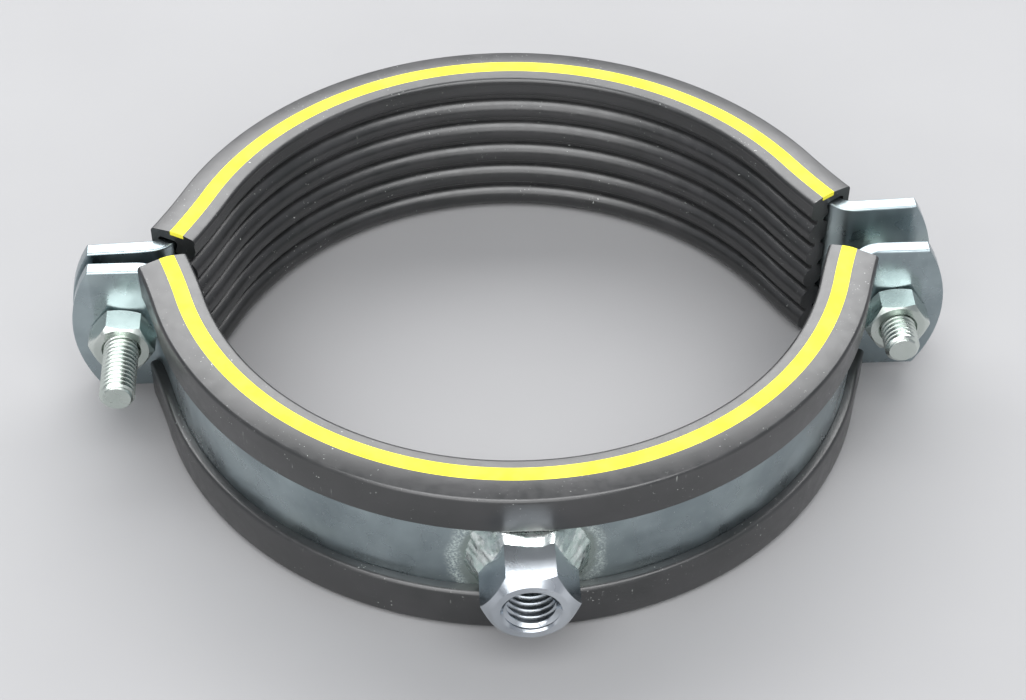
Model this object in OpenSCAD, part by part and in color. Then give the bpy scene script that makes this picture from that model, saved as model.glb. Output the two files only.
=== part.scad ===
// Two-bolt pipe support clamp: two bent steel halves with a ribbed rubber lining,
// joined by a bolt and nut at each pair of ears, with a threaded boss welded on the front.
// The pipe runs along Z. The origin is the centre of the front arc, on the plane that the
// lining's lower rim stands on. -Y is the boss side, and +X is right, seen from the boss.

/* [Steel halves] */
// Width of the steel strip, along the pipe
strip_w = 35.6; // [34:0.1:36]
// Thickness of the steel strip
strip_t = 3.5; // [3:0.1:4]
// Inner radius of each steel half
strip_r = 75.8; // [75:0.1:77]
// Concave radius of the bend between arc and ear
bend_r = 4.5; // [3.5:0.5:6]
// Distance from the middle to the tip of each ear
ear_tip_x = 99.5; // [98:0.5:102]
// Radius of the rounded ear end
ear_end_r = 34; // [30:1:60]

/* [Stance] */
// Front ears' mating face, measured from the front arc's centre
front_setback = 4.6; // [4:0.1:6]
// Rear ears' mating face, measured from the rear arc's centre
rear_setback = 19.3; // [19:0.1:20]
// How far the rear arc's centre sits towards the boss
rear_shift_y = 16.7; // [16:0.1:17]
// How far the rear arc's centre sits to the right
rear_shift_x = 0.5; // [0.4:0.1:0.6]
// Tilt of the rear half, from the uneven tightening of its nuts
rear_tilt = 2.67; // [2.6:0.01:2.7]

/* [Rubber lining] */
// Height of the lining, along the pipe
lining_h = 42.4; // [42:0.1:43]
// Radius at the crests of the inner beads
crest_r = 69.85; // [69.5:0.05:70.5]
// Outer radius of the lips that hold the strip
lip_r = 81.2; // [81:0.1:82]
// Drop of the shoulder from the top face to the lip
shoulder_drop = 1.5; // [1:0.1:2]
// Height of the lower lip's edge above the lower rim
lower_lip_z = 11.5; // [10:0.1:12]
// Height of the upper lip's edge above the lower rim
upper_lip_z = 31.8; // [31:0.1:33]
// Number of inner beads, with the two that round the lining's inner corners
beads = 6; // [6:1:6]
// Pitch of the inner beads
bead_pitch = 6.9; // [6.7:0.1:7]
// Radius of the inner beads
bead_r = 3.05; // [3:0.05:3.2]
// Radius of the two end beads
end_bead_r = 3.3; // [3:0.1:3.4]
// Thickness of the web that joins the beads
web_t = 1.8; // [1.2:0.1:2.4]
// Right end of the front lining, as an angle from the X axis
front_end_right = 7.3; // [7:0.1:8]
// Left end of the front lining
front_end_left = 5.2; // [5:0.1:8]
// Right end of the rear lining, as an angle from its own X axis
rear_end_right = 16.7; // [15:0.1:18]
// Left end of the rear lining
rear_end_left = 15.7; // [15:0.1:18]
// Slant of the cut ends, away from radial
end_slant = 15; // [0:1:20]

/* [Stripe] */
// Mean radius of the coloured stripe
stripe_r = 75; // [74.5:0.1:75.2]
// Width of the stripe
stripe_w = 3.45; // [3:0.05:4]
// Depth of the stripe in the lining
stripe_d = 1.2; // [0.8:0.1:1.6]

/* [Fasteners] */
// Distance from the middle to each bolt axis
bolt_x = 88.2; // [88:0.1:88.5]
// Radius of the bolts
bolt_r = 4; // [3.9:0.05:4]
// Length of the bolts under the head
bolt_len = 34.5; // [34:0.1:36]
// Width across flats of bolt heads and nuts
hex_af = 13; // [12.7:0.1:13]
// Height of the bolt heads
head_h = 5.3; // [5:0.1:5.6]
// Height of the nuts
nut_h = 6.5; // [6:0.1:6.8]
// Play between nut and bolt, on the radius
thread_play = 0.05; // [0.02:0.01:0.1]
// Radius of the bolt holes in the front ears
front_hole_r = 4.75; // [4.6:0.05:5]
// Radius of the bolt holes in the rear ears
rear_hole_r = 5.5; // [5.4:0.05:5.6]
// Outer radius of the washers
washer_r = 8; // [8:0.1:8.5]
// Hole radius of the washers
washer_hole_r = 4.5; // [4.5:0.05:4.6]
// Thickness of the washers
washer_t = 1.6; // [1.4:0.1:1.8]
// Room that lets the rear ear rock against the left washer
rock_gap = 0.5; // [0.5:0.05:0.8]
// Room between the left washer and bolt head
head_gap_left = 0.5; // [0.5:0.05:0.8]
// Room between the right washer and bolt head, where the washer rocks more
head_gap_right = 0.8; // [0.8:0.05:1]
// Room under the nuts, which clears the bend beside them
nut_gap = 0.1; // [0.1:0.05:0.2]
// How far the loose right washer sits outward from its bolt's axis
washer_shift = 0.15; // [0.1:0.05:0.2]
// Radius of the flat circle on the faces of bolt heads and nuts
hex_face_r = 6.175; // [6:0.025:6.3]

/* [Boss] */
// Width across flats of the boss
boss_af = 18; // [17:19]
// Distance from the front arc's centre to the boss's face
boss_face_y = 94; // [90:0.5:100]
// Radius of the flat circle on the boss's face
boss_face_r = 8.3; // [8:0.1:8.8]
// Radius of the threaded bore
boss_bore_r = 5.1; // [5:0.05:5.3]
// Radius of the countersink at both ends of the bore
boss_mouth_r = 6.3; // [6:0.1:6.6]
// Radius of the weld where it meets the strip
weld_r = 14; // [13:0.5:15]
// Radius of the weld where it meets the boss
weld_top_r = 9.8; // [9.5:0.1:10.3]
// How far the weld climbs up the boss
weld_h = 5; // [3:0.5:6]

/* [Hidden] */
$fn = 96;

past = 1;                                // how far a cutter runs past what it cuts
seat_gap = 0.05;                         // play of the strip in the lining's channel
bend_gap = 0.15;                         // room around the bends where they leave the lining
mid_z = lining_h / 2;                    // height of the bolts, the boss and the strip's middle
band_r = strip_r + strip_t;              // outer radius of the steel
rim = (lining_h - strip_w) / 2;          // rubber above and below the strip
front_ends = [front_end_right, front_end_left];
rear_ends = [rear_end_right, rear_end_left];
nut_y = -front_setback - strip_t - nut_gap;
foot_depth = 2;                          // the boss and weld start this far inside the band
boss_foot = band_r - foot_depth;         // and are cut to it
bolt_left_turn = 12;                     // how far each bolt and nut stands turned on its axis
bolt_right_turn = -7;
nut_left_turn = -8;
nut_right_turn = 4;
hex_chamfer = 30;                        // slope of the chamfers on hexagon corners
steel = [0.66, 0.71, 0.71];
zinc = [0.74, 0.77, 0.74];
rubber = [0.16, 0.16, 0.165];
yellow = [0.93, 0.86, 0.12];

// ---- Places ----

// Each half is drawn behind its own X axis. The front one is mirrored, the rear one is moved.
module front_place() {
    mirror([0, 1, 0]) children();
}

module rear_place() {
    translate([rear_shift_x, -rear_shift_y, 0]) rotate(rear_tilt) children();
}

// Where the line at x along Y meets the rear half's plane at distance d from its arc's centre.
function rear_y(x, d) = -rear_shift_y + (x - rear_shift_x) * tan(rear_tilt) + d / cos(rear_tilt);

// Lays a part that stands on XY along -Y, at bolt height, with its foot at (x, y).
module facing_front(x, y, phase = 0) {
    translate([x, y, mid_z]) rotate([90, 0, 0]) rotate(phase) children();
}

// The same along +Y.
module facing_rear(x, y, phase = 0) {
    translate([x, y, mid_z]) rotate([-90, 0, 0]) rotate(phase) children();
}

// ---- Steel halves ----

// Height of a bend's centre above the half's own X axis, and the angle at which the arc meets it.
function bend_y(setback) = setback + strip_t + bend_r;
function bend_a(setback) = asin(bend_y(setback) / (band_r + bend_r));
function bend_x(setback) = (band_r + bend_r) * cos(bend_a(setback));

// Points on a circle from angle a to angle b, without the last one.
function round_points(centre, r, a, b, n) =
    [for (i = [0 : n - 1]) let (t = a + (b - a) * i / n) centre + r * [cos(t), sin(t)]];

// Plan of one half, from the right ear's tip over the outside and back along the inside.
function half_outline(setback) =
    let (a = bend_a(setback), right = [bend_x(setback), bend_y(setback)],
         left = [-right.x, right.y], back_r = bend_r + strip_t, turns = 10, steps = 88)
    concat(
        [[ear_tip_x, setback], [ear_tip_x, setback + strip_t]],
        round_points(right, bend_r, 270, 180 + a, turns),
        round_points([0, 0], band_r, a, 180 - a, steps),
        round_points(left, bend_r, 360 - a, 270, turns),
        [[left.x, setback + strip_t], [-ear_tip_x, setback + strip_t], [-ear_tip_x, setback]],
        round_points(left, back_r, 270, 360 - a, turns),
        round_points([0, 0], strip_r, 180 - a, a, steps),
        round_points(right, back_r, 180 + a, 270, turns),
        [[right.x, setback]]);

// One half in its own frame: an arc, then a bend and an ear at each side.
module half_band(setback, hole_r) {
    difference() {
        translate([0, 0, rim]) linear_extrude(strip_w) polygon(half_outline(setback));
        for (side = [0, 1]) mirror([side, 0, 0]) {
            translate([bolt_x, setback - past, mid_z]) rotate([-90, 0, 0])
                cylinder(r = hole_r, h = strip_t + 2 * past);
            tip_cutter(setback);
        }
    }
}

// What is cut from an ear's tip to round it.
module tip_cutter(setback) {
    start_x = ear_tip_x - strip_w / 4;
    difference() {
        translate([start_x, setback - past, rim - past])
            cube([strip_w / 2, strip_t + 2 * past, strip_w + 2 * past]);
        translate([ear_tip_x - ear_end_r, setback - 2 * past, mid_z]) rotate([-90, 0, 0])
            cylinder(r = ear_end_r, h = strip_t + 4 * past);
    }
}

// The bends of one half with room around them, for cutting the lining.
module bend_cutter(setback) {
    overrun = 6;    // angle by which the cutter passes each end of the bend
    for (side = [0, 1]) mirror([side, 0, 0])
        translate([bend_x(setback), bend_y(setback), rim - bend_gap]) rotate(180 + bend_a(setback) - overrun)
            rotate_extrude(angle = 90 - bend_a(setback) + 2 * overrun)
                translate([bend_r - bend_gap, 0]) square([strip_t + 2 * bend_gap, strip_w + 2 * bend_gap]);
}

module band_front() {
    color(steel) front_place() half_band(front_setback, front_hole_r);
}

module band_rear() {
    color(steel) rear_place() half_band(rear_setback, rear_hole_r);
}

// ---- Rubber lining ----

// Section in (radius, z): two rims with lips around the strip, and a beaded web inside it.
module lining_section() {
    top_r = stripe_r + stripe_w / 2;
    corner_r = crest_r + end_bead_r;
    difference() {
        union() {
            difference() {
                polygon([[corner_r, 0], [top_r, 0], [lip_r, shoulder_drop],
                         [lip_r, lining_h - shoulder_drop], [top_r, lining_h], [corner_r, lining_h]]);
                translate([0, rim - seat_gap]) square([band_r + seat_gap, strip_w + 2 * seat_gap]);
                translate([band_r - past, lower_lip_z]) square([lip_r, upper_lip_z - lower_lip_z]);
            }
            translate([crest_r + bead_r - web_t / 2, rim - past]) square([web_t, strip_w + 2 * past]);
            for (i = [1 : beads - 2])
                translate([crest_r + bead_r, mid_z + (i - (beads - 1) / 2) * bead_pitch])
                    circle(r = bead_r, $fn = 48);
            for (z = [end_bead_r, lining_h - end_bead_r])
                translate([corner_r, z]) circle(r = end_bead_r, $fn = 48);
        }
        translate([strip_r - seat_gap, rim - seat_gap])
            square([strip_t + 2 * seat_gap, strip_w + 2 * seat_gap]);
        stripe_section();
    }
}

module stripe_section() {
    translate([stripe_r - stripe_w / 2, lining_h - stripe_d]) square([stripe_w, stripe_d]);
}

// Turns a section into an arc between two slanted ends, given as [right, left] angles.
module cut_arc(ends) {
    spare = 3;      // angle that the slanted cuts take off
    reach = 20;     // size of each cutter
    difference() {
        rotate(ends[0] - spare) rotate_extrude(angle = 180 - ends[0] - ends[1] + 2 * spare, $fn = 180)
            children();
        for (side = [0, 1]) mirror([side, 0, 0]) rotate(ends[side]) translate([stripe_r, 0, -past])
            rotate(end_slant) translate([-reach, -reach, 0]) cube([2 * reach, reach, lining_h + 2 * past]);
    }
}

module lining_front() {
    color(rubber) front_place() difference() {
        cut_arc(front_ends) lining_section();
        bend_cutter(front_setback);
    }
}

module lining_rear() {
    color(rubber) rear_place() difference() {
        cut_arc(rear_ends) lining_section();
        bend_cutter(rear_setback);
    }
}

module stripe_front() {
    color(yellow) front_place() cut_arc(front_ends) stripe_section();
}

module stripe_rear() {
    color(yellow) rear_place() cut_arc(rear_ends) stripe_section();
}

// ---- Boss ----

// Hexagonal prism on XY, chamfered down to the circle face_r at the top, or at both ends.
module hex_prism(af, h, face_r, both = false) {
    corner = af / sqrt(3);
    cut = (corner - face_r) * tan(hex_chamfer);
    foot = both ? cut : 0;
    intersection() {
        cylinder(r = corner, h = h, $fn = 6);
        union() {
            translate([0, 0, h - cut]) cylinder(r1 = corner, r2 = face_r, h = cut);
            translate([0, 0, foot]) cylinder(r = corner, h = h - cut - foot);
            if (both) cylinder(r1 = face_r, r2 = corner, h = cut);
        }
    }
}

module boss_blank() {
    facing_front(0, -boss_foot) hex_prism(boss_af, boss_face_y - boss_foot, boss_face_r);
}

module band_cutter() {
    translate([0, 0, -past]) cylinder(r = band_r, h = lining_h + 2 * past, $fn = 180);
}

module boss_nut() {
    mouth_h = boss_mouth_r - boss_bore_r;
    color(zinc) difference() {
        boss_blank();
        band_cutter();
        facing_front(0, -boss_foot + past) cylinder(r = boss_bore_r, h = boss_face_y - boss_foot + 2 * past);
        facing_front(0, -boss_face_y + mouth_h) cylinder(r1 = boss_bore_r, r2 = boss_mouth_r, h = mouth_h);
        facing_front(0, -band_r) cylinder(r1 = boss_mouth_r, r2 = boss_bore_r, h = mouth_h);
        facing_front(0, -band_r + past) cylinder(r = boss_mouth_r, h = past);
    }
}

// Cone of weld around the boss, which stays between the lining's lips.
module boss_weld() {
    lip_room = 0.2;
    color(steel) difference() {
        intersection() {
            facing_front(0, -boss_foot)
                cylinder(r1 = weld_r, r2 = weld_top_r, h = band_r - boss_foot + weld_h);
            translate([-weld_r, -boss_face_y, lower_lip_z + lip_room])
                cube([2 * weld_r, boss_face_y, upper_lip_z - lower_lip_z - 2 * lip_room]);
        }
        band_cutter();
        boss_blank();
    }
}

// ---- Bolts, nuts and washers ----

// Bolt along Y: the underside of its head is at y, and its far end is chamfered.
module bolt(x, y, phase) {
    tip = 0.9;
    color(zinc) {
        facing_rear(x, y, phase) hex_prism(hex_af, head_h, hex_face_r);
        facing_front(x, y) rotate_extrude()
            polygon([[0, -past], [bolt_r, -past], [bolt_r, bolt_len - tip],
                     [bolt_r - tip, bolt_len], [0, bolt_len]]);
    }
}

// Nut in front of a front ear.
module nut(x, phase) {
    bore = bolt_r + thread_play;
    sink = 0.6;
    color(zinc) difference() {
        facing_front(x, nut_y, phase) hex_prism(hex_af, nut_h, hex_face_r, true);
        facing_front(x, nut_y + past) cylinder(r = bore, h = nut_h + 2 * past);
        facing_front(x, nut_y - nut_h + sink) cylinder(r1 = bore, r2 = bore + sink, h = sink);
    }
}

// Distance of a washer's front face from the rear arc's centre.
function washer_d(gap) = rear_setback + strip_t + gap;

// Washer on the bolt axis behind a rear ear and square to the ear.
module washer(x, gap) {
    color(zinc) translate([x, rear_y(x, washer_d(gap)), mid_z]) rotate(rear_tilt) rotate([-90, 0, 0])
        difference() {
            cylinder(r = washer_r, h = washer_t);
            translate([0, 0, -past]) cylinder(r = washer_hole_r, h = washer_t + 2 * past);
        }
}

// Underside of the bolt head behind that washer.
function head_y(x, gap, head_gap) = rear_y(x, washer_d(gap) + washer_t) + head_gap;

module bolt_left() {
    bolt(-bolt_x, head_y(-bolt_x, rock_gap, head_gap_left), bolt_left_turn);
}

module bolt_right() {
    bolt(bolt_x, head_y(bolt_x, 0, head_gap_right), bolt_right_turn);
}

module nut_left() {
    nut(-bolt_x, nut_left_turn);
}

module nut_right() {
    nut(bolt_x, nut_right_turn);
}

module washer_left() {
    washer(-bolt_x, rock_gap);
}

module washer_right() {
    washer(bolt_x + washer_shift, 0);
}

band_front();
band_rear();
lining_front();
lining_rear();
stripe_front();
stripe_rear();
boss_nut();
boss_weld();
bolt_left();
bolt_right();
nut_left();
nut_right();
washer_left();
washer_right();
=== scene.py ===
"""The looks of a rubber-lined two-bolt pipe clamp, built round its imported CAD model.

Shapes are worked out in millimetres in the row frame and scaled to metres as they become meshes:
+Z runs along the pipe, -Y towards the threaded boss, and the front half's arc centre is the origin.
"""

import math

import bmesh
import bpy
from mathutils import Matrix, Quaternion, Vector, noise


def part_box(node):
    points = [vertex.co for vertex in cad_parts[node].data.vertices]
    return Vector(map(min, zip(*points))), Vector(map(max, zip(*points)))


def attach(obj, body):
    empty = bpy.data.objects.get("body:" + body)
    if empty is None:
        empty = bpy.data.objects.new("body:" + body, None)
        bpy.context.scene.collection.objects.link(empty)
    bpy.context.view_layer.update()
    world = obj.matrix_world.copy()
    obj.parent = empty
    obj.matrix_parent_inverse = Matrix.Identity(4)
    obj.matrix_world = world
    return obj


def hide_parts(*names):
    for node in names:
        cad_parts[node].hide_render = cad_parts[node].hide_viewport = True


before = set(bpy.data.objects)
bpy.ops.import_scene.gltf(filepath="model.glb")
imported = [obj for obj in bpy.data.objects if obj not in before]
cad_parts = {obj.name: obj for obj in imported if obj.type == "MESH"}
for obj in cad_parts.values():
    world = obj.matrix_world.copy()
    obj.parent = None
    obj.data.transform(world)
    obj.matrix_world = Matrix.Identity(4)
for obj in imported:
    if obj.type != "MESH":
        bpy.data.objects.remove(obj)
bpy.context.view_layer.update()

MM = 0.001


def corner(node, high):
    """The lowest or highest corner of a CAD node, in millimetres."""
    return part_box(node)[1 if high else 0] / MM


# ---- Sizes, in millimetres ----

HEIGHT = corner("lining_front", True).z
MID_Z = HEIGHT / 2
LIP_R = -corner("lining_front", False).y
BAND_R = -corner("band_front", False).y
STRIP_W = corner("band_front", True).z - corner("band_front", False).z
EAR_TIP = corner("band_front", True).x
RIM = MID_Z - STRIP_W / 2
STRIP_T = 3.5
STRIP_R = BAND_R - STRIP_T
BEND_R = 4.5
EAR_END_R = 34
EDGE_R = 0.55           # rounding of the strip's rolled edges

FRONT_SETBACK = 4.6     # from each arc's centre to its ears' mating faces
REAR_SETBACK = 19.3
REAR_CENTRE = (0.5, -16.7)
REAR_TILT = math.radians(2.67)
FRONT_ENDS = (7.3, 5.2)     # right and left ends of the linings, in degrees from the X axis
REAR_ENDS = (16.2, 15.7)
END_SLANT = 15
LEAD_ANGLES = (15.5, 27)    # where the front's and the rear's arcs begin to ease outward to the ears
LEAD_R = 147

RIM_R = 69.9            # inner edge of the top face
CREST_R = 70.4          # inner beads
BEAD_R = 3.05
BEAD_PITCH = 6.9
BEADS = 6
WEB_T = 1.8
TOP_CORNER_R = 1.3
SEAT_GAP = 0.05
SHOULDER_DROP = 1.5      # from a rim's face to the widest part of its lip
LOWER_LIP_Z = 11.5
UPPER_LIP_Z = 31.8
STRIPE_R = 75
STRIPE_W = 3.45
STRIPE_D = 1.2
STRIPE_CROWN = 0.15     # the stripe's middle stands this far above its edges
STRIPE_PLAY = 0.02

BOLT_X = 88.2
BOLT_R = 4
BOLT_PITCH = 1.25
BOLT_TIP = 1.0          # height of the cone at the thread's end
BOLT_TIP_DROP = 0.9     # and how far it narrows
THREAD_PLAY = 0.04
THREAD_LEAD = 2         # turns of thread that start before a bolt's seat
THREAD_SPARE = 5        # turns beyond the bolt's length, with the lead, all cut off
FRONT_HOLE_R = 4.75
REAR_HOLE_R = 5.5
HEX_AF = 13
HEX_SIDES = 6
HEAD_H = 5.3
HEX_CHAMFER = 30
HEX_FACE_SHARE = 0.95   # radius of a chamfered face, as a share of half the width across flats
HEX_CORNER_SPARE = 0.2  # how far turned outlines run past a hexagon's corners
SHARP = 35              # edges of more than this angle, in degrees, stay sharp
HEX_SHARP = 20          # the same for hexagons, so that the 30 degree chamfers show
BOLT_TURNS = {"left": 12, "right": -7}      # degrees that the heads and nuts are turned
NUT_TURNS = {"left": -8, "right": 4}
WASHER_R = 8
WASHER_BORE_R = 4.5
WASHER_T = 1.6
BOSS_AF = 18
BOSS_BORE_R = 5.1
BOSS_THREAD_R = 6
BOSS_PITCH = 1.75
BOSS_MOUTH_R = 6.4
BOSS_SINK = 0.5         # how far the boss's prism runs into the strip before it is cut
BOSS_CHAMFER = 40
BOSS_FACE_SHARE = 0.885
BOSS_THREAD_LEAD = 3    # turns of thread that start before the boss's foot
BOSS_THREAD_SPARE = 8   # turns beyond the boss's length, with the lead
WELD_TOE_R = 13.2
WELD_CLIMB = 5.2
BOSS_FACE = -corner("boss_nut", False).y
FLOOR_REACH = 3000


# ---- Placing and making meshes ----


def front(point):
    """A point of a half's own frame, mirrored to the front half's place."""
    x, y, z = point
    return (x, -y, z)


def rear(point):
    """The same for the rear half."""
    x, y, z = point
    c, s = math.cos(REAR_TILT), math.sin(REAR_TILT)
    return (REAR_CENTRE[0] + c * x - s * y, REAR_CENTRE[1] + s * x + c * y, z)


def to_mesh(name, points, faces, sharp_angle=SHARP):
    """A closed mesh object from points in millimetres, smooth but for its sharp edges."""
    mesh = bpy.data.meshes.new(name)
    mesh.from_pydata([Vector(p) * MM for p in points], [], faces)
    bm = bmesh.new()
    bm.from_mesh(mesh)
    bmesh.ops.remove_doubles(bm, verts=bm.verts, dist=1e-6)
    bmesh.ops.recalc_face_normals(bm, faces=bm.faces)
    bm.to_mesh(mesh)
    bm.free()
    obj = bpy.data.objects.new(name, mesh)
    bpy.context.scene.collection.objects.link(obj)
    shade(obj, sharp_angle)
    return obj


def shade(obj, sharp_angle=SHARP):
    """Smooth shading, with edges of more than the given angle left sharp."""
    obj.data.polygons.foreach_set("use_smooth", [True] * len(obj.data.polygons))
    obj.data.set_sharp_from_angle(angle=math.radians(sharp_angle))


def apply_modifiers(obj):
    """Puts the modified shape in the object's mesh."""
    evaluated = obj.evaluated_get(bpy.context.evaluated_depsgraph_get())
    mesh = bpy.data.meshes.new_from_object(evaluated)
    obj.modifiers.clear()
    obj.data = mesh


def combine(obj, other, operation):
    """Boolean of two closed meshes; the second one is used up."""
    cut = obj.modifiers.new("cut", "BOOLEAN")
    cut.object = other
    cut.operation = operation
    cut.solver = "EXACT"
    apply_modifiers(obj)
    bpy.data.objects.remove(other)
    shade(obj)
    return obj


def bevel(obj, width, angle=50, segments=3, sharp_angle=SHARP):
    """Rounds the edges that turn by more than the angle."""
    soft = obj.modifiers.new("bevel", "BEVEL")
    soft.width = width * MM
    soft.segments = segments
    soft.limit_method = "ANGLE"
    soft.angle_limit = math.radians(angle)
    apply_modifiers(obj)
    shade(obj, sharp_angle)
    return obj


def lathe(name, profile, x, y, turns=64):
    """Turns (radius, distance) points about the axis that leaves (x, y) along -Y at bolt height."""
    points, faces = [], []
    for i in range(turns):
        a = 2 * math.pi * i / turns
        for r, d in profile:
            points.append((x + r * math.cos(a), y - d, MID_Z + r * math.sin(a)))
    n = len(profile)
    for i in range(turns):
        j = (i + 1) % turns
        for k in range(n - 1):
            faces.append((i * n + k, j * n + k, j * n + k + 1, i * n + k + 1))
    for k in (0, n - 1):
        if profile[k][0] > 0:
            faces.append(tuple(i * n + k for i in range(turns)))
    return to_mesh(name, points, faces)


def round_hex(name, af, x, y, length, profile, phase):
    """A hexagonal bar along -Y, cut to the turned outline (radius, distance)."""
    n, reach = HEX_SIDES, 1
    r = af / math.sqrt(3)
    points = []
    for d in (-reach, length + reach):
        for i in range(n):
            a = math.radians(phase + 360 / n * i)
            points.append((x + r * math.cos(a), y - d, MID_Z + r * math.sin(a)))
    faces = [tuple(range(n)), tuple(range(n, 2 * n))]
    faces += [(i, (i + 1) % n, n + (i + 1) % n, n + i) for i in range(n)]
    bar = to_mesh(name, points, faces)
    return combine(bar, lathe(name + "_outline", profile, x, y, 96), "INTERSECT")


def chamfer(af, face_share, angle):
    """A hexagon's corner and face radii for a turned outline, and the height between them."""
    corner_r = af / math.sqrt(3) + HEX_CORNER_SPARE
    face_r = face_share * (af / 2)
    return corner_r, face_r, (corner_r - face_r) * math.tan(math.radians(angle))


def thread_rod(name, x, y, radius, depth, pitch, length, columns=48):
    """A right-handed threaded rod along -Y from (x, y), with sharp closed ends to be cut off."""
    # One turn of the thread as (share of the pitch, radius): root, flank and crest.
    shape = ((0.0, radius - depth), (0.14, radius - depth), (0.44, radius), (0.70, radius))
    rows_a_turn = len(shape)
    rows = rows_a_turn * math.ceil(length / pitch)
    points, faces = [], []
    for j in range(rows + 1):
        step, r = shape[j % rows_a_turn]
        for i in range(columns):
            a = 2 * math.pi * i / columns
            d = pitch * (j // rows_a_turn + step + i / columns)
            # Turning about -Y carries +X towards +Z backwards, which makes the helix right-handed.
            points.append((x + r * math.cos(a), y - d, MID_Z + r * math.sin(a)))

    def at(j, i):
        return j * columns + i

    for j in range(rows):
        for i in range(columns - 1):
            faces.append((at(j, i), at(j, i + 1), at(j + 1, i + 1), at(j + 1, i)))
        if j + 1 + rows_a_turn <= rows:
            faces.append((at(j, columns - 1), at(j + rows_a_turn, 0),
                          at(j + 1 + rows_a_turn, 0), at(j + 1, columns - 1)))
    low = [at(0, i) for i in range(columns)] + [at(j, 0) for j in range(rows_a_turn, 0, -1)]
    high = [at(rows, i) for i in range(columns)]
    high += [at(j, columns - 1) for j in range(rows - 1, rows - rows_a_turn - 1, -1)]
    for loop, d in ((low, 0), (high, pitch * (rows / rows_a_turn + 1))):
        points.append((x, y - d, MID_Z))
        hub = len(points) - 1
        faces += [(loop[k], loop[(k + 1) % len(loop)], hub) for k in range(len(loop))]
    return to_mesh(name, points, faces)


# ---- Steel halves ----


class Course:
    """The line that a half's strip and lining follow, in the half's own frame.

    Its middle is an arc about the origin. Past the lead angle at each side it eases outward
    with the opposite curvature, until the strip's bend begins.
    """

    def __init__(self, setback, lead_angle, place):
        self.setback, self.place = setback, place
        self.lead = math.radians(lead_angle)
        self.main = BAND_R * (math.pi / 2 - self.lead)
        reach = BAND_R + LEAD_R
        self.hub = (reach * math.cos(self.lead), reach * math.sin(self.lead))
        self.bend_y = setback + STRIP_T + BEND_R
        away = LEAD_R - BEND_R
        drop = self.hub[1] - self.bend_y
        self.bend_x = self.hub[0] - math.sqrt(away ** 2 - drop ** 2)
        self.turn = math.asin(drop / away) - self.lead
        self.end = self.main + LEAD_R * self.turn

    def at(self, u, r):
        """The point at distance u from the middle, along the strip's outer face, and radius r."""
        side = 1 if u > 0 else -1
        past = abs(u) - self.main
        if past <= 0:
            a = math.pi / 2 - u / BAND_R
            return r * math.cos(a), r * math.sin(a)
        a = self.lead + past / LEAD_R
        away = LEAD_R + BAND_R - r
        return side * (self.hub[0] - away * math.cos(a)), self.hub[1] - away * math.sin(a)

    def cut(self, side, end, r):
        """The distance u at which the slanted end at that side meets radius r."""
        middle = self.along(side, math.radians(end), STRIPE_R)
        corner_x, corner_y = self.at(middle, STRIPE_R)
        a = math.radians(end + END_SLANT)
        u = middle
        for _ in range(8):
            x, y = self.at(u, r)
            off = (y - corner_y) * math.cos(a) - side * (x - corner_x) * math.sin(a)
            u += side * off
        return u

    def along(self, side, angle, r):
        """The distance u at which radius r lies at that angle above the X axis."""
        u = side * BAND_R * (math.pi / 2 - angle)
        for _ in range(8):
            x, y = self.at(u, r)
            u += side * BAND_R * (math.atan2(y, abs(x)) - angle)
        return u

    def ear(self, side):
        """Pairs of outer and inner points of the ear and bend at one side, from the ear's tip."""
        flats, turns = 6, 10
        for i in range(flats):
            x = EAR_TIP + (self.bend_x - EAR_TIP) * i / flats
            yield (side * x, self.setback + STRIP_T), (side * x, self.setback)
        first, last = -math.pi / 2, -math.pi + self.lead + self.turn
        for i in range(turns):
            a = first + (last - first) * i / turns
            yield tuple((side * (self.bend_x + r * math.cos(a)), self.bend_y + r * math.sin(a))
                        for r in (BEND_R, BEND_R + STRIP_T))

    def strip(self):
        """Pairs of outer and inner points of the whole strip, from right to left."""
        steps = 140
        yield from self.ear(1)
        for i in range(steps + 1):
            u = self.end * (1 - 2 * i / steps)
            yield self.at(u, BAND_R), self.at(u, STRIP_R)
        yield from reversed(list(self.ear(-1)))


def strip_section():
    """The strip's section as (share of the thickness, z), with rounded corners."""
    side = EDGE_R / STRIP_T
    top, steps = STRIP_W - EDGE_R, 4
    for centre, start in (((1 - side, RIM + EDGE_R), -90), ((1 - side, RIM + top), 0),
                          ((side, RIM + top), 90), ((side, RIM + EDGE_R), 180)):
        for i in range(steps + 1):
            a = math.radians(start + 90 * i / steps)
            yield (centre[0] + side * math.cos(a), centre[1] + EDGE_R * math.sin(a))


def band(name, course, hole_r):
    """A steel half, with its holes and the cut corners of its ears."""
    section = list(strip_section())
    points, faces = [], []
    stations = list(course.strip())
    setback = course.setback
    n = len(section)
    for outer, inner in stations:
        for share, z in section:
            points.append((inner[0] + (outer[0] - inner[0]) * share,
                           inner[1] + (outer[1] - inner[1]) * share, z))
    for i in range(len(stations) - 1):
        for k in range(n):
            m = (k + 1) % n
            faces.append((i * n + k, i * n + m, (i + 1) * n + m, (i + 1) * n + k))
    faces.append(tuple(range(n)))
    faces.append(tuple((len(stations) - 1) * n + k for k in range(n)))
    obj = to_mesh(name, points, faces)
    reach = 5
    hole = [(hole_r, -reach), (hole_r, reach)]
    for side in (1, -1):
        combine(obj, lathe("hole", hole, side * BOLT_X, setback + STRIP_T / 2), "DIFFERENCE")
        combine(obj, tip_cutter(side, setback), "DIFFERENCE")
    bevel(obj, 0.3)
    obj.data.transform(placing(course.place))
    return obj


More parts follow.
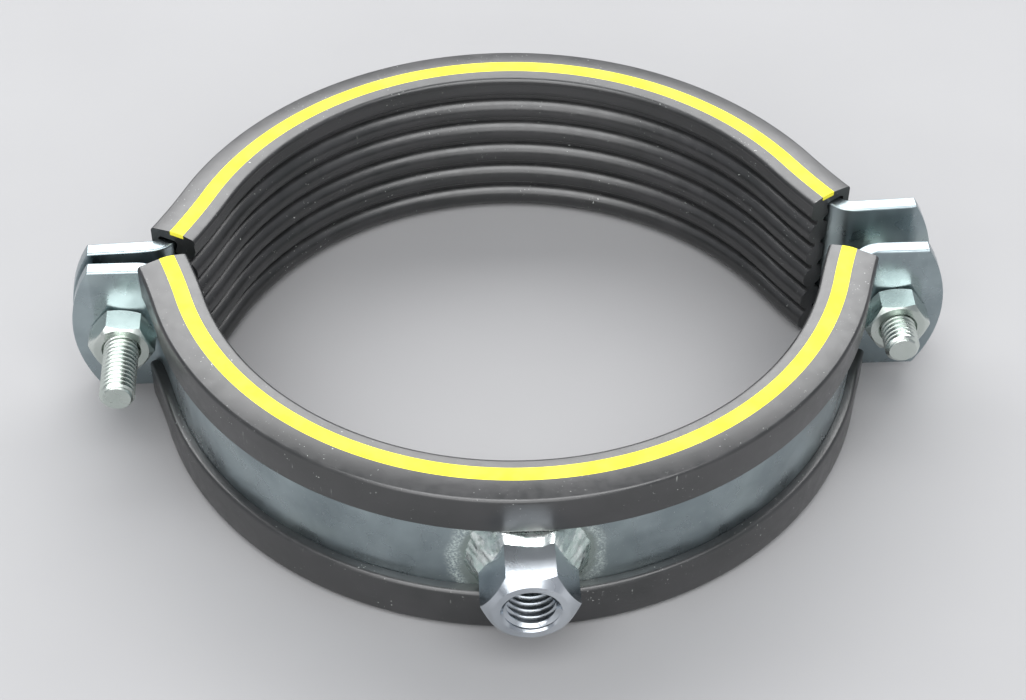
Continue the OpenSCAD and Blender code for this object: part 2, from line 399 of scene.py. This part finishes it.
def tip_cutter(side, setback):
    """The corners that are cut from an ear's tip, as one ring with a rounded inside."""
    centre = EAR_TIP - EAR_END_R
    points, faces = [], []
    steps, spread, outer, past = 24, 50, EAR_END_R + 15, 1
    for i in range(steps + 1):
        a = math.radians(-spread + 2 * spread * i / steps)
        for r in (EAR_END_R, outer):
            for y in (setback - past, setback + STRIP_T + past):
                points.append((side * (centre + r * math.cos(a)), y, MID_Z + r * math.sin(a)))
    for i in range(steps):
        p, q = 4 * i, 4 * (i + 1)
        for u, v in ((0, 1), (1, 3), (3, 2), (2, 0)):
            faces.append((p + u, p + v, q + v, q + u))
    last = 4 * steps
    faces += [(0, 1, 3, 2), (last, last + 1, last + 3, last + 2)]
    return to_mesh("tip", points, faces)


def placing(place):
    """The matrix that puts a half's own frame, in metres, in its place."""
    ox, oy, _ = place((0, 0, 0))
    columns = [Vector(place(p)) - Vector((ox, oy, 0)) for p in ((1, 0, 0), (0, 1, 0), (0, 0, 1))]
    matrix = Matrix(columns).transposed().to_4x4()
    matrix.translation = Vector((ox, oy, 0)) * MM
    return matrix


# ---- Lining and stripe ----


def rounded(corners, steps=4):
    """An outline through (r, z, rounding) corners, with an arc in each corner that has a rounding.

    Each arc's centre and end directions fit its rounding. The arc itself is drawn 1 mm from that
    centre, because slerp returns vectors of length 1, so smaller roundings stand a little proud.
    """
    count = len(corners)
    for i, (r, z, rounding) in enumerate(corners):
        here = Vector((r, z))
        if rounding == 0:
            yield (r, z)
            continue
        before = (Vector(corners[i - 1][:2]) - here).normalized()
        after = (Vector(corners[(i + 1) % count][:2]) - here).normalized()
        half = before.angle(after) / 2
        centre = here + (before + after).normalized() * rounding / math.sin(half)
        start = here + before * rounding / math.tan(half) - centre
        end = here + after * rounding / math.tan(half) - centre
        for k in range(steps + 1):
            turned = start.slerp(end, k / steps)
            yield (centre.x + turned.x, centre.y + turned.y)


def bead_heights():
    """The beads' middles, from the lowest up."""
    return [MID_Z + (i - (BEADS - 1) / 2) * BEAD_PITCH for i in range(BEADS)]


def bead_arc(z, reach, start, end, steps):
    """Part of a bead, where it stands reach away from the web's middle line."""
    centre = CREST_R + BEAD_R
    for i in range(steps + 1):
        a = math.radians(start + (end - start) * i / steps)
        yield (centre + reach * math.cos(a), z + BEAD_R * math.sin(a))


def lining_section(heights):
    """The outer and the upper inner corners of the lining's section, as (radius, z, rounding)."""
    top_r = STRIPE_R + STRIPE_W / 2
    seat_in, seat_out = STRIP_R - SEAT_GAP, BAND_R + SEAT_GAP
    seat_low, seat_high = RIM - SEAT_GAP, HEIGHT - RIM + SEAT_GAP
    outside = [
        (top_r, 0, 0.3), (LIP_R, SHOULDER_DROP, 0.5), (LIP_R, LOWER_LIP_Z, 0.35),
        (seat_out, LOWER_LIP_Z, 0.25), (seat_out, seat_low, 0.3), (seat_in, seat_low, 0.3),
    ]
    inside = [
        (seat_in, seat_high, 0.3), (seat_out, seat_high, 0.3), (seat_out, UPPER_LIP_Z + 0.5, 0.2),
        (LIP_R, UPPER_LIP_Z, 0.5), (LIP_R, HEIGHT - SHOULDER_DROP, 0.35),
        (top_r, HEIGHT - STRIPE_CROWN, 0), (top_r, HEIGHT - STRIPE_D, 0),
        (top_r - STRIPE_W, HEIGHT - STRIPE_D, 0), (top_r - STRIPE_W, HEIGHT - STRIPE_CROWN, 0),
        (RIM_R, HEIGHT - 0.3, TOP_CORNER_R),
        (RIM_R + 0.2, heights[-1] + 1.6, 1.5),
    ]
    return outside, inside


def lining_outline():
    """The lining's closed section as (radius, z): rims, lips and the beaded web."""
    heights = bead_heights()
    outside, inside = lining_section(heights)
    web = WEB_T / 2
    touch = math.degrees(math.acos((STRIP_R - SEAT_GAP - CREST_R - BEAD_R) / BEAD_R))
    back = math.degrees(math.acos(web / BEAD_R))
    aim = (STRIP_R, 20, 0)      # where the open ends of the two runs of corners head for
    points = list(rounded([aim] + outside + [aim]))[1:-1]
    for i, z in enumerate(heights):
        first, last = i == 0, i == BEADS - 1
        if not first:
            points += list(bead_arc(z, BEAD_R, -back, -touch, 5))
        if not last:
            points += list(bead_arc(z, BEAD_R, touch, back, 5))
    top_crest = (CREST_R, heights[-1])
    points += list(rounded([aim] + inside + [top_crest + (0,)]))[1:-1]
    points.append(top_crest)
    top_start, foot_end, foot_inset = 187, 255, 0.8
    for z in reversed(heights):
        first, last = z == heights[0], z == heights[-1]
        start = top_start if last else 180 - back
        end = foot_end if first else 180 + back
        points += list(bead_arc(z, BEAD_R, start, end, 10 if first or last else 14))
    points.append((CREST_R + BEAD_R + foot_inset, 0))
    return points


def stripe_outline():
    """The stripe's section: flat in its groove, and slightly crowned on top."""
    low, steps = HEIGHT - STRIPE_D + STRIPE_PLAY, 6
    half = STRIPE_W / 2 - STRIPE_PLAY
    points = [(STRIPE_R - half, low), (STRIPE_R + half, low)]
    for i in range(steps + 1):
        across = 1 - 2 * i / steps
        points.append((STRIPE_R + half * across, HEIGHT - STRIPE_CROWN * across * across))
    return points


def swept(name, outline, ends, course, steps=150):
    """Sweeps a (radius, z) outline along a half between its two slanted ends."""
    n = len(outline)
    spans = [(course.cut(1, ends[0], r), course.cut(-1, ends[1], r)) for r, z in outline]
    points, faces = [], []
    for i in range(steps + 1):
        for (r, z), (first, last) in zip(outline, spans):
            x, y = course.at(first + (last - first) * i / steps, r)
            points.append(course.place((x, y, z)))
    for i in range(steps):
        for k in range(n):
            m = (k + 1) % n
            faces.append((i * n + k, i * n + m, (i + 1) * n + m, (i + 1) * n + k))
    faces.append(tuple(range(n)))
    faces.append(tuple(steps * n + k for k in range(n)))
    return to_mesh(name, points, faces, 40)


# ---- Boss and weld ----


def boss():
    """The hexagonal boss, chamfered, threaded and cut to sit on the strip."""
    foot = BAND_R - BOSS_SINK
    length = BOSS_FACE - foot
    corner_r, face_r, cut = chamfer(BOSS_AF, BOSS_FACE_SHARE, BOSS_CHAMFER)
    outline = [(0, 0), (corner_r, 0), (corner_r, length - cut), (face_r, length), (0, length)]
    obj = round_hex("boss", BOSS_AF, 0, -foot, length, outline, 0)
    past, margin = 2, 0.3
    mouth_low = length - (BOSS_MOUTH_R - BOSS_BORE_R) - margin
    mouth = [(0, mouth_low), (BOSS_BORE_R - margin, mouth_low),
             (BOSS_MOUTH_R, length), (BOSS_MOUTH_R, length + past), (0, length + past)]
    tap = thread_rod("tap", 0, -foot + BOSS_THREAD_LEAD * BOSS_PITCH, BOSS_THREAD_R,
                     BOSS_THREAD_R - BOSS_BORE_R, BOSS_PITCH,
                     length + BOSS_THREAD_SPARE * BOSS_PITCH, 64)
    combine(obj, tap, "DIFFERENCE")
    combine(obj, lathe("mouth", mouth, 0, -foot, 96), "DIFFERENCE")
    combine(obj, pipe_cutter(), "DIFFERENCE")
    return bevel(obj, 0.12, 25, 2, HEX_SHARP)


def pipe_cutter():
    """A drum of the band's outer radius."""
    points, faces = [], []
    turns = 240
    for z in (-1, HEIGHT + 1):
        for i in range(turns):
            a = 2 * math.pi * i / turns
            points.append((BAND_R * math.cos(a), BAND_R * math.sin(a), z))
    faces.append(tuple(range(turns)))
    faces.append(tuple(range(turns, 2 * turns)))
    faces += [(i, (i + 1) % turns, turns + (i + 1) % turns, turns + i) for i in range(turns)]
    return to_mesh("drum", points, faces)


def hex_radius(a, af):
    """Distance from a hexagon's middle to its side in direction a, with corners at 0 and 60 degrees."""
    return af / 2 / math.cos((a % (math.pi / 3)) - math.pi / 6)


def weld():
    """The weld: a lumpy fillet that climbs from the strip onto the boss's sides."""
    columns, rows = 216, 18
    lip_gap = 0.3
    low, high = LOWER_LIP_Z + lip_gap - MID_Z, UPPER_LIP_Z - lip_gap - MID_Z
    skin, root, faces = [], [], []
    for i in range(columns):
        a = 2 * math.pi * i / columns
        around = Vector((math.cos(a), math.sin(a), 0))
        lump = noise.noise(around * 1.7 + Vector((0, 0, 3)))
        ripple = noise.noise(around * 7 + Vector((0, 0, 8)))
        inner = hex_radius(a, BOSS_AF) - 0.6
        toe = WELD_TOE_R + 1.2 * lump + 0.35 * ripple
        climb = WELD_CLIMB + 0.7 * lump + 0.35 * ripple
        for k in range(rows):
            t = k / (rows - 1)
            r = inner + (toe - inner) * t
            fine = noise.noise(Vector((r * around.x, r * around.y, 20)) * 0.8)
            belly = 0.9 + 0.5 * lump + 0.3 * fine
            lift = climb * (1 - t) ** 1.35 + belly * math.sin(math.pi * t) * (1 - 0.4 * t)
            x, z = r * around.x, min(max(r * around.y, low), high)
            surface = -math.sqrt(BAND_R ** 2 - x ** 2)
            skin.append((x, surface - max(lift, 0), MID_Z + z))
            root.append((x, surface + 0.3, MID_Z + z))
    count = columns * rows
    for i in range(columns):
        j = (i + 1) % columns
        for k in range(rows - 1):
            quad = (i * rows + k, j * rows + k, j * rows + k + 1, i * rows + k + 1)
            faces.append(quad)
            faces.append(tuple(count + v for v in reversed(quad)))
        for k in (0, rows - 1):
            faces.append((i * rows + k, j * rows + k, count + j * rows + k, count + i * rows + k))
    return to_mesh("weld", skin + root, faces, 60)


# ---- Bolts, nuts and washers ----


def bolt_seat(node):
    """Where a bolt's head meets its washer, along Y."""
    return corner(node, True).y - HEAD_H


def bolt(name, node, x, phase):
    """A hexagon-head bolt with a full thread, along the CAD bolt's own axis."""
    low, high = corner(node, False), corner(node, True)
    seat = bolt_seat(node)
    length = seat - low.y
    rod = thread_rod(name, x, seat + THREAD_LEAD * BOLT_PITCH, BOLT_R - THREAD_PLAY, 0.72,
                     BOLT_PITCH, length + THREAD_SPARE * BOLT_PITCH, 64)
    outer_r, sunk = BOLT_R + 0.2, 1.5
    outline = [(0, -sunk), (outer_r, -sunk), (outer_r, length - BOLT_TIP),
               (BOLT_R - BOLT_TIP_DROP, length), (0, length)]
    combine(rod, lathe("outline", outline, x, seat, 64), "INTERSECT")
    corner_r, face_r, cut = chamfer(HEX_AF, HEX_FACE_SHARE, HEX_CHAMFER)
    collar = HEAD_H - 0.35
    head_outline = [(0, 0), (face_r, 0), (corner_r, cut), (corner_r, collar),
                    (face_r, collar), (face_r, HEAD_H), (0, HEAD_H)]
    head = round_hex("head", HEX_AF, x, high.y, HEAD_H, head_outline, phase)
    combine(rod, head, "UNION")
    shade(rod, HEX_SHARP)
    return rod


def nut(name, node, seat, x, phase):
    """A hexagon nut, threaded in step with its bolt."""
    low, high = corner(node, False), corner(node, True)
    height = high.y - low.y
    corner_r, face_r, cut = chamfer(HEX_AF, HEX_FACE_SHARE, HEX_CHAMFER)
    outline = [(0, 0), (face_r, 0), (corner_r, cut), (corner_r, height - cut),
               (face_r, height), (0, height)]
    obj = round_hex(name, HEX_AF, x, high.y, height, outline, phase)
    tap = thread_rod("tap", x, seat + THREAD_LEAD * BOLT_PITCH, BOLT_R + THREAD_PLAY, 0.66,
                     BOLT_PITCH, seat - low.y + THREAD_SPARE * BOLT_PITCH, 64)
    combine(obj, tap, "DIFFERENCE")
    mouth_r, mouth_h = BOLT_R + 0.45, 1.15
    for y, way in ((high.y, 1), (low.y, -1)):
        mouth = [(0, -way), (mouth_r, -way), (mouth_r, 0),
                 (BOLT_R - 0.7, way * mouth_h), (0, way * mouth_h)]
        combine(obj, lathe("mouth", mouth, x, y, 64), "DIFFERENCE")
    return bevel(obj, 0.08, 25, 2, HEX_SHARP)


def washer(name, node):
    """A plain washer, square to the rear ears."""
    low, high = corner(node, False), corner(node, True)
    middle = (low + high) / 2
    half = WASHER_T / 2
    r, bore = WASHER_R, WASHER_BORE_R
    outline = [(bore, -half), (r - 0.2, -half), (r, -half + 0.2), (r, half - 0.3),
               (r - 0.3, half), (bore + 0.1, half), (bore, half - 0.1), (bore, -half)]
    obj = lathe(name, outline, 0, 0, 72)
    to_origin = Matrix.Translation((0, 0, -MID_Z * MM))
    turn = Matrix.Rotation(REAR_TILT, 4, "Z")
    obj.data.transform(Matrix.Translation(middle * MM) @ turn @ to_origin)
    return obj


# ---- Materials ----


class Paint:
    """A material under construction. Plain values go straight on the shader's sockets."""

    def __init__(self, name, **sockets):
        self.material = bpy.data.materials.new(name)
        self.material.use_nodes = True
        self.tree = self.material.node_tree
        self.shader = self.tree.nodes["Principled BSDF"]
        self.place = self.tree.nodes.new("ShaderNodeTexCoord").outputs["Object"]
        for socket, value in sockets.items():
            self.shader.inputs[socket.replace("_", " ")].default_value = value

    def node(self, kind, settings=None, **inputs):
        made = self.tree.nodes.new("ShaderNode" + kind)
        for key, value in (settings or {}).items():
            setattr(made, key, value)
        for key, value in inputs.items():
            self.feed(made.inputs[key.replace("_", " ")], value)
        return made

    def feed(self, socket, value):
        """Links another node's output to the socket, or sets its value."""
        if isinstance(value, bpy.types.NodeSocket):
            self.tree.links.new(value, socket)
        else:
            socket.default_value = value

    def noise(self, size_mm, detail=2.0, roughness=0.5, stretch=None, distortion=0.0):
        """Noise whose features are about size_mm across."""
        where = self.place
        if stretch:
            mapping = self.node("Mapping", Vector=where, Scale=stretch)
            where = mapping.outputs["Vector"]
        made = self.node("TexNoise", Vector=where, Scale=1 / (size_mm * MM), Detail=detail,
                         Roughness=roughness, Distortion=distortion)
        return made.outputs["Fac"]

    def ramp(self, value, low, high, to_low=0.0, to_high=1.0):
        """A smooth step of the value, from low to high."""
        made = self.node("MapRange", Value=value)
        made.interpolation_type = "SMOOTHSTEP"
        ends = (("From Min", low), ("From Max", high), ("To Min", to_low), ("To Max", to_high))
        for key, number in ends:
            made.inputs[key].default_value = number
        return made.outputs["Result"]

    def mix(self, share, a, b):
        """Colour a with a share of colour b. The Mix node's colours are its inputs 6 and 7."""
        made = self.node("Mix", {"data_type": "RGBA"})
        self.feed(made.inputs["Factor"], share)
        self.feed(made.inputs[6], a)
        self.feed(made.inputs[7], b)
        return made.outputs[2]

    def math(self, operation, a, b=0.0):
        made = self.node("Math", {"operation": operation})
        self.feed(made.inputs[0], a)
        self.feed(made.inputs[1], b)
        return made.outputs[0]

    def bump(self, height, depth_mm, under=None):
        """Relief of the given depth, on top of another one."""
        made = self.node("Bump", Height=height, Strength=1.0, Distance=depth_mm * MM)
        if under:
            self.feed(made.inputs["Normal"], under)
        return made.outputs["Normal"]

    def surface(self, colour=None, roughness=None, normal=None):
        """Feeds the shader and hands over the finished material."""
        for socket, value in (("Base Color", colour), ("Roughness", roughness), ("Normal", normal)):
            if value is not None:
                self.feed(self.shader.inputs[socket], value)
        return self.material


def rgba(r, g, b):
    return (r, g, b, 1.0)


def zinc(name, light, dark, rough, heat=False):
    """Satin zinc plating: cloudy, faintly tinted, with fine grain, pale specks and pits."""
    paint = Paint(name, Metallic=1.0)
    clouds = paint.ramp(paint.noise(16, 3, 0.5, distortion=0.3), 0.25, 0.75)
    colour = paint.mix(clouds, dark, light)
    tint = paint.ramp(paint.noise(22, 2, 0.5, distortion=0.3), 0.5, 0.8, 0, 0.25)
    colour = paint.mix(tint, colour, rgba(0.62, 0.72, 0.66))
    specks = paint.ramp(paint.noise(0.6, 3, 0.65), 0.66, 0.74, 0, 0.4)
    colour = paint.mix(specks, colour, rgba(0.82, 0.88, 0.88))
    pits = paint.ramp(paint.noise(0.8, 3, 0.7), 0.30, 0.24, 0, 0.4)
    colour = paint.mix(pits, colour, rgba(0.20, 0.23, 0.24))
    roughness = paint.ramp(paint.noise(9, 3, 0.5), 0.3, 0.7, *rough)
    # The strip by the weld also gets a pale heat ring and a dark ring of painted shade round the weld's
    # toe.
    if heat:
        colour, roughness = heat_tint_and_shade(paint, colour, roughness)
    normal = paint.bump(paint.noise(0.4, 3, 0.6), 0.008)
    normal = paint.bump(paint.noise(6, 2), 0.03, normal)
    return paint.surface(colour, roughness, normal)


def heat_tint_and_shade(paint, colour, roughness):
    """Adds the pale heat ring that welding leaves round the boss, and a dark ring of painted shade at
    the weld's toe.
    """
    apart = paint.node("VectorMath", {"operation": "SUBTRACT"})
    paint.feed(apart.inputs[0], paint.place)
    apart.inputs[1].default_value = (0, -BAND_R * MM, MID_Z * MM)
    away = paint.node("VectorMath", {"operation": "LENGTH"})
    paint.feed(away.inputs[0], apart.outputs[0])
    waver = paint.math("MULTIPLY", paint.math("SUBTRACT", paint.noise(5, 3), 0.5), 0.004)
    ring = paint.math("ADD", away.outputs["Value"], waver)
    # Distances from the boss's foot, in metres, where the frost fades out, fades in, and the painted
    # shade begins.
    outer, inner, shade_span = (0.0180, 0.0158), (0.0136, 0.0152), (0.0155, 0.0135)
    frost = paint.math("MULTIPLY", paint.ramp(ring, *outer), paint.ramp(ring, *inner))
    grit = paint.ramp(paint.noise(0.5, 4, 0.7), 0.40, 0.66, 0, 0.75)
    colour = paint.mix(paint.math("MULTIPLY", frost, grit), colour, rgba(0.86, 0.95, 0.90))
    # A dark ring of painted shade round the weld's toe, where the weld meets the strip.
    painted_shade = paint.ramp(ring, *shade_span, 0, 0.5)
    colour = paint.mix(painted_shade, colour, rgba(0.36, 0.42, 0.36))
    return colour, paint.math("ADD", roughness, paint.math("MULTIPLY", frost, 0.15))


def weld_metal():
    """Bright plated weld with a few dark patches of painted shade, standing in for shaded hollows."""
    paint = Paint("weld_metal", Metallic=1.0)
    clouds = paint.ramp(paint.noise(3.5, 4, 0.6), 0.35, 0.65)
    colour = paint.mix(clouds, rgba(0.60, 0.72, 0.68), rgba(0.90, 0.95, 0.93))
    # Scattered dark patches: painted shade, standing in for the weld's shaded hollows.
    painted_shade = paint.ramp(paint.noise(4, 3, 0.55, distortion=0.5), 0.6, 0.72, 0, 0.7)
    colour = paint.mix(painted_shade, colour, rgba(0.30, 0.36, 0.33))
    roughness = paint.ramp(paint.noise(1.5, 3), 0.3, 0.7, 0.16, 0.36)
    normal = paint.bump(paint.noise(1.6, 3, 0.6), 0.10)
    return paint.surface(colour, roughness, normal)


def rubber():
    """Black extruded rubber with a thin grey bloom, dust specks and fine drag lines."""
    paint = Paint("rubber", Specular_IOR_Level=1.0)
    bloom = paint.ramp(paint.noise(12, 4, 0.6), 0.3, 0.72)
    colour = paint.mix(bloom, rgba(0.011, 0.012, 0.012), rgba(0.020, 0.020, 0.021))
    patch = paint.ramp(paint.noise(10, 2), 0.46, 0.66)
    specks = paint.math("MULTIPLY", paint.ramp(paint.noise(0.6, 2, 0.5), 0.70, 0.73), patch)
    colour = paint.mix(specks, colour, rgba(0.40, 0.42, 0.40))
    drag = paint.noise(0.6, 3, 0.5, stretch=(1, 1, 0.12))
    rubbed = paint.ramp(drag, 0.68, 0.74)
    rubs = paint.math("MULTIPLY", rubbed, paint.ramp(paint.noise(14, 2), 0.55, 0.62))
    colour = paint.mix(paint.math("MULTIPLY", rubs, 0.6), colour, rgba(0.30, 0.32, 0.30))
    roughness = paint.ramp(paint.noise(3, 3, 0.6), 0.3, 0.7, 0.30, 0.38)
    normal = paint.bump(paint.noise(0.3, 3, 0.6), 0.006)
    normal = paint.bump(paint.noise(4, 2), 0.03, normal)
    return paint.surface(colour, roughness, normal)


def stripe_rubber():
    """Lemon yellow rubber, a little grimy."""
    paint = Paint("stripe_rubber", Specular_IOR_Level=0.08)
    clouds = paint.ramp(paint.noise(5, 3), 0.3, 0.7)
    colour = paint.mix(clouds, rgba(0.80, 0.72, 0.045), rgba(0.88, 0.82, 0.075))
    grime = paint.ramp(paint.noise(0.7, 3, 0.6), 0.68, 0.80, 0, 0.5)
    colour = paint.mix(grime, colour, rgba(0.55, 0.45, 0.05))
    normal = paint.bump(paint.noise(0.3, 2), 0.01)
    return paint.surface(colour, paint.ramp(clouds, 0, 1, 0.5, 0.6), normal)


def floor_paint():
    """A plain, matt, pale floor."""
    paint = Paint("floor_paint", Specular_IOR_Level=0.1)
    colour = paint.mix(paint.noise(60, 3), rgba(0.32, 0.32, 0.325), rgba(0.35, 0.35, 0.355))
    return paint.surface(colour, paint.ramp(paint.noise(2, 2), 0, 1, 0.8, 0.9))


# ---- Assembly ----


def finish_piece(obj, material, slot, body, *nodes):
    """Gives a piece its material and body, and hides the CAD nodes that it replaces. The slot is not
    used.
    """
    obj.data.materials.clear()
    obj.data.materials.append(material)
    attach(obj, body)
    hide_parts(*nodes)


def build():
    """Makes the fourteen pieces."""
    pale, deep = rgba(0.40, 0.47, 0.49), rgba(0.25, 0.30, 0.32)
    strip = zinc("strip_zinc", pale, deep, (0.22, 0.40))
    strip_hot = zinc("strip_zinc_by_weld", pale, deep, (0.22, 0.40), heat=True)
    bright = zinc("fastener_zinc", rgba(0.78, 0.82, 0.78), rgba(0.52, 0.58, 0.54), (0.16, 0.32))
    hexagon = zinc("boss_zinc", rgba(0.72, 0.76, 0.80), rgba(0.46, 0.50, 0.54), (0.16, 0.30))
    black, yellow = rubber(), stripe_rubber()

    halves = (
        ("front", Course(FRONT_SETBACK, LEAD_ANGLES[0], front), FRONT_HOLE_R, FRONT_ENDS, strip_hot),
        ("rear", Course(REAR_SETBACK, LEAD_ANGLES[1], rear), REAR_HOLE_R, REAR_ENDS, strip),
    )
    outline, crown = lining_outline(), stripe_outline()
    for side, course, hole_r, ends, steel in halves:
        body = side + "_half"
        finish_piece(band(side + "_strip", course, hole_r), steel, "strip_steel", body, "band_" + side)
        lining = swept(side + "_lining", outline, ends, course)
        finish_piece(lining, black, "lining_rubber", body, "lining_" + side)
        stripe = swept(side + "_stripe", crown, ends, course)
        finish_piece(stripe, yellow, "stripe_rubber", body, "stripe_" + side)
    finish_piece(boss(), hexagon, "boss_steel", "front_half", "boss_nut")
    finish_piece(weld(), weld_metal(), "weld_steel", "front_half", "boss_weld")
    for side, x in (("left", -BOLT_X), ("right", BOLT_X)):
        bolt_node, nut_node = "bolt_" + side, "nut_" + side
        obj = bolt(side + "_bolt", bolt_node, x, BOLT_TURNS[side])
        finish_piece(obj, bright, "fastener_steel", bolt_node, bolt_node)
        obj = nut(side + "_nut", nut_node, bolt_seat(bolt_node), x, NUT_TURNS[side])
        finish_piece(obj, bright, "fastener_steel", nut_node, nut_node)
    for side, body in (("left", "washer_left"), ("right", "rear_half")):
        obj = washer(side + "_washer", "washer_" + side)
        finish_piece(obj, bright, "fastener_steel", body, "washer_" + side)


# ---- Stage ----


def camera():
    """The camera stands in front and above, a little to the left, at about 45 degrees."""
    place, target = Vector((-22.1, -397.0, 397.6)) * MM, Vector((0, -18.1, MID_Z)) * MM
    roll = math.radians(0.72)
    data = bpy.data.cameras.new("camera")
    data.sensor_width, data.lens = 36, 83.04
    obj = bpy.data.objects.new("camera", data)
    bpy.context.scene.collection.objects.link(obj)
    obj.location = place
    aim = (target - place).to_track_quat("-Z", "Y")
    obj.rotation_mode = "QUATERNION"
    obj.rotation_quaternion = aim @ Quaternion((0, 0, 1), roll)
    bpy.context.scene.camera = obj


def area_light(name, place, target, size, power):
    """A rectangular light, in metres and watts, aimed at the target."""
    data = bpy.data.lights.new(name, "AREA")
    data.shape = "RECTANGLE"
    data.size, data.size_y = size
    data.energy = power
    obj = bpy.data.objects.new(name, data)
    bpy.context.scene.collection.objects.link(obj)
    obj.location = place
    obj.rotation_euler = (Vector(target) - Vector(place)).to_track_quat("-Z", "Y").to_euler()


def stage():
    """The floor and the light. The Standard view keeps the stripe's colour from fading."""
    r = FLOOR_REACH
    floor = to_mesh("floor", [(-r, -r, 0), (r, -r, 0), (r, r, 0), (-r, r, 0)], [(0, 1, 2, 3)])
    floor.data.materials.append(floor_paint())
    area_light("back_softbox", (0, 0.85, 0.85), (0, 0, 0.02), (2.0, 1.0), 31)
    area_light("top_softbox", (0, -0.6, 1.05), (0, 0, 0), (1.4, 0.7), 14)
    area_light("front_softbox", (-0.2, -1.15, 0.46), (0, 0, 0.02), (1.3, 0.75), 8)
    world = bpy.data.worlds.new("world")
    world.use_nodes = True
    background = world.node_tree.nodes["Background"]
    background.inputs["Color"].default_value = rgba(0.9, 0.93, 1.0)
    background.inputs["Strength"].default_value = 0.42
    bpy.context.scene.world = world
    bpy.context.scene.view_settings.view_transform = "Standard"


camera()
build()
stage()
